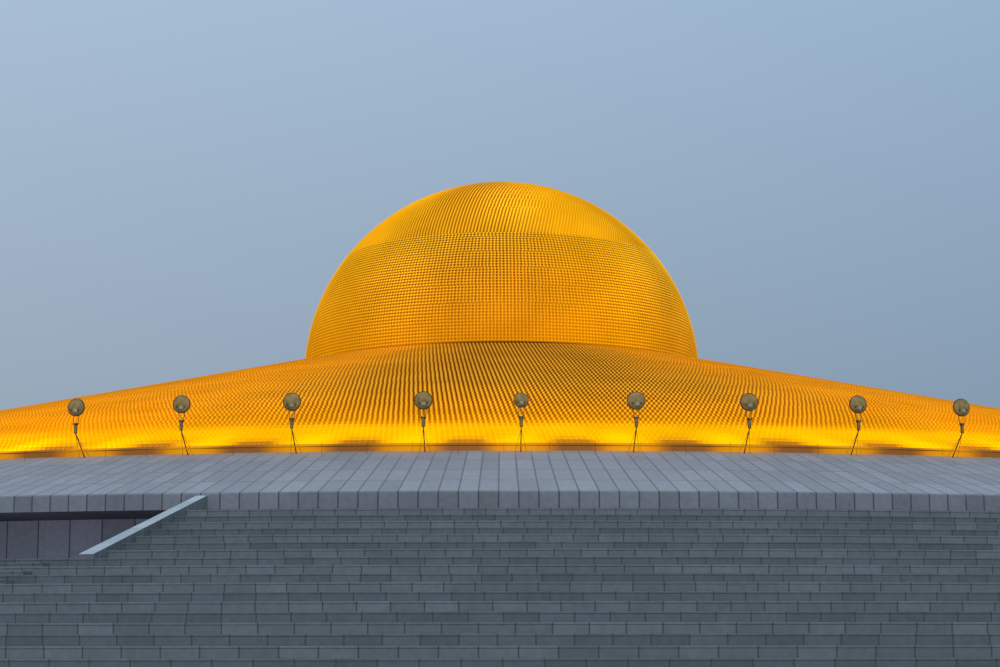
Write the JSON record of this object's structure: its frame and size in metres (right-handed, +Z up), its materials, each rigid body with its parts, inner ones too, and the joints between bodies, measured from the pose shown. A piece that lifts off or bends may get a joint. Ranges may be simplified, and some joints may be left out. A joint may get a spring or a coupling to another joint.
{
  "type": "stupa, 1:10 scale model",
  "caption": "Low round stupa with a golden dome on a shallow golden slope, a stone apron ringed with lamp masts, roofed galleries and stepped seating terraces",
  "frame": {"origin": "on the ground in the middle of the round plan, under the top of the dome", "axes": "+Z up; -Y is the front, where one of the four galleries has its middle; +X is to the right of it"},
  "size_m": [20.386, 20.386, 3.24],
  "materials": {
    "gold": "satin gilt bronze",
    "apron_stone": "honed blue-grey stone slabs",
    "terrace_stone": "green-grey stone with pale worn nosings",
    "wall_stone": "dark panelled stone",
    "coping_stone": "light smooth stone",
    "mast_metal": "bronze-grey metal"
  },
  "bodies": {
    "root": {"dome": "gold", "golden_slope": "gold", "kerb": "gold", "fascia": "apron_stone", "drum": "wall_stone", "gallery_floor": "apron_stone", "terrace_01": "terrace_stone", "terrace_02": "terrace_stone", "terrace_03": "terrace_stone", "terrace_04": "terrace_stone", "terrace_05": "terrace_stone", "terrace_06": "terrace_stone", "terrace_07": "terrace_stone", "terrace_08": "terrace_stone", "terrace_09": "terrace_stone", "terrace_10": "terrace_stone", "terrace_11": "terrace_stone", "terrace_12": "terrace_stone", "terrace_13": "terrace_stone", "front_apron": "apron_stone", "front_masts_and_rail": "mast_metal", "front_gallery_wall": "wall_stone", "front_left_cheek": "coping_stone", "front_right_cheek": "coping_stone", "front_flight": "terrace_stone", "right_apron": "apron_stone", "right_masts_and_rail": "mast_metal", "right_gallery_wall": "wall_stone", "right_left_cheek": "coping_stone", "right_right_cheek": "coping_stone", "right_flight": "terrace_stone", "back_apron": "apron_stone", "back_masts_and_rail": "mast_metal", "back_gallery_wall": "wall_stone", "back_left_cheek": "coping_stone", "back_right_cheek": "coping_stone", "back_flight": "terrace_stone", "left_apron": "apron_stone", "left_masts_and_rail": "mast_metal", "left_gallery_wall": "wall_stone", "left_left_cheek": "coping_stone", "left_right_cheek": "coping_stone", "left_flight": "terrace_stone"}
  },
  "joints": []
}
